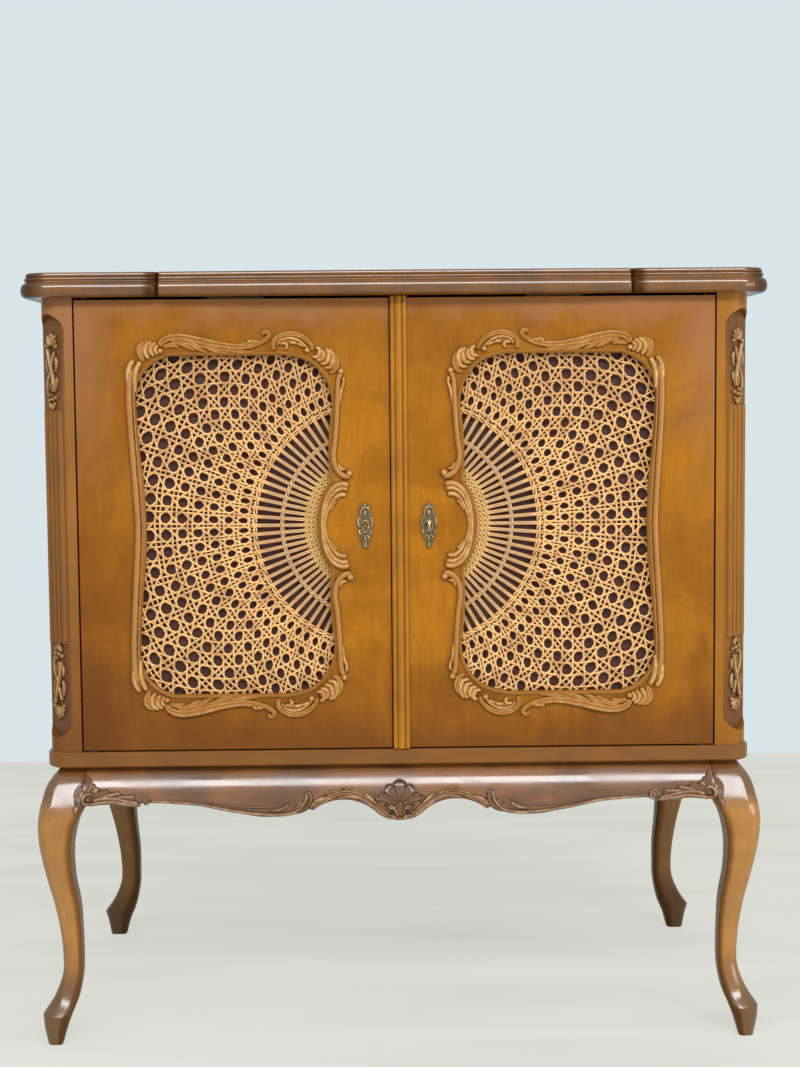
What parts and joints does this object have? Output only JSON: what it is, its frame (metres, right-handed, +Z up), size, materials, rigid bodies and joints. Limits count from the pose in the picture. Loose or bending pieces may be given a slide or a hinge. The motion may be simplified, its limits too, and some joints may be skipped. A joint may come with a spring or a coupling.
{
  "type": "record cabinet",
  "caption": "Free-standing record cabinet on cabriole legs, with a moulded top, pivoting doors with carved frames and fan-shaped cane panels, a key lock, flush bolts and upright record bays.",
  "frame": {"origin": "on the floor, under the middle of the overall box", "axes": "+X to the right seen from the front, +Y to the back, +Z up; the doors face -Y"},
  "size_m": [0.7836, 0.4279, 0.82],
  "materials": {
    "moulded_top": "dark varnished hardwood, glossy",
    "door_veneer": "golden brown mottled veneer, glossy varnish",
    "case_wood": "golden brown veneer, glossy varnish",
    "leg_wood": "varnished hardwood, darker at the feet",
    "carved_wood": "carved hardwood with dark recesses",
    "cane": "woven honey-coloured cane",
    "dark_backing": "dark plum-brown stained board",
    "inner_wood": "plain light board",
    "aged_brass": "aged, darkened in the hollows",
    "steel_fittings": "plain steel"
  },
  "bodies": {
    "carcass": {"apron_scrolls": "carved_wood", "apron_shell": "carved_wood", "back_panel": "inner_wood", "back_panel_screws": "steel_fittings", "base_board": "case_wood", "corner_block_screws": "steel_fittings", "corner_blocks": "inner_wood", "door_stops": "inner_wood", "front_apron": "leg_wood", "front_left_leg": "leg_wood", "front_right_leg": "leg_wood", "knee_carvings": "carved_wood", "left_apron": "leg_wood", "left_corner_post": "case_wood", "left_post_carving": "carved_wood", "left_side_panel": "case_wood", "left_top_cleat": "inner_wood", "pivot_bushes": "aged_brass", "rear_left_leg": "leg_wood", "rear_rail": "inner_wood", "rear_right_leg": "leg_wood", "record_divider_1": "inner_wood", "record_divider_2": "inner_wood", "record_divider_3": "inner_wood", "right_apron": "leg_wood", "right_corner_post": "case_wood", "right_post_carving": "carved_wood", "right_side_panel": "case_wood", "right_top_cleat": "inner_wood", "shelf": "inner_wood", "shelf_pins": "steel_fittings", "top_panel": "moulded_top", "top_screws": "steel_fittings"},
    "left_door": {"left_door_panel": "door_veneer", "left_carved_frame": "carved_wood", "left_cane_panel": "cane", "left_backing_beads": "dark_backing", "left_backing_board": "dark_backing", "left_escutcheon": "aged_brass", "left_escutcheon_nails": "aged_brass", "left_door_pivots": "aged_brass", "strike": "steel_fittings", "bolt_guides": "steel_fittings"},
    "right_door": {"right_door_panel": "door_veneer", "right_carved_frame": "carved_wood", "right_cane_panel": "cane", "right_backing_beads": "dark_backing", "right_backing_board": "dark_backing", "right_escutcheon": "aged_brass", "right_escutcheon_nails": "aged_brass", "right_door_pivots": "aged_brass", "meeting_strip": "case_wood", "lock_case": "steel_fittings", "lock_screws": "steel_fittings"},
    "lock_bolt": {"lock_bolt": "steel_fittings"},
    "key": {"key": "steel_fittings"},
    "upper_bolt": {"upper_bolt": "steel_fittings"},
    "lower_bolt": {"lower_bolt": "steel_fittings"}
  },
  "joints": [
    {"name": "left_door_swing", "type": "hinge", "parent": "carcass", "child": "left_door", "pos_m": [-0.3245, -0.187, 0.5547], "axis": [0, 0, -1], "range_deg": [0, 105]},
    {"name": "right_door_swing", "type": "hinge", "parent": "carcass", "child": "right_door", "pos_m": [0.3245, -0.187, 0.5547], "axis": [0, 0, 1], "range_deg": [0, 105]},
    {"name": "key_turn", "type": "hinge", "parent": "right_door", "child": "key", "pos_m": [0.0336, -0.192, 0.5547], "axis": [0, 1, 0], "range_deg": [0, 90]},
    {"name": "lock_bolt_slide", "type": "slide", "parent": "right_door", "child": "lock_bolt", "axis": [-1, 0, 0], "range_m": [0, 0.012]},
    {"name": "upper_bolt_slide", "type": "slide", "parent": "left_door", "child": "upper_bolt", "axis": [0, 0, 1], "range_m": [0, 0.01]},
    {"name": "lower_bolt_slide", "type": "slide", "parent": "left_door", "child": "lower_bolt", "axis": [0, 0, -1], "range_m": [0, 0.01]}
  ],
  "couplings": [
    {"joint": "key_turn", "follows": "lock_bolt_slide", "rad_per_m": 130.89}
  ]
}
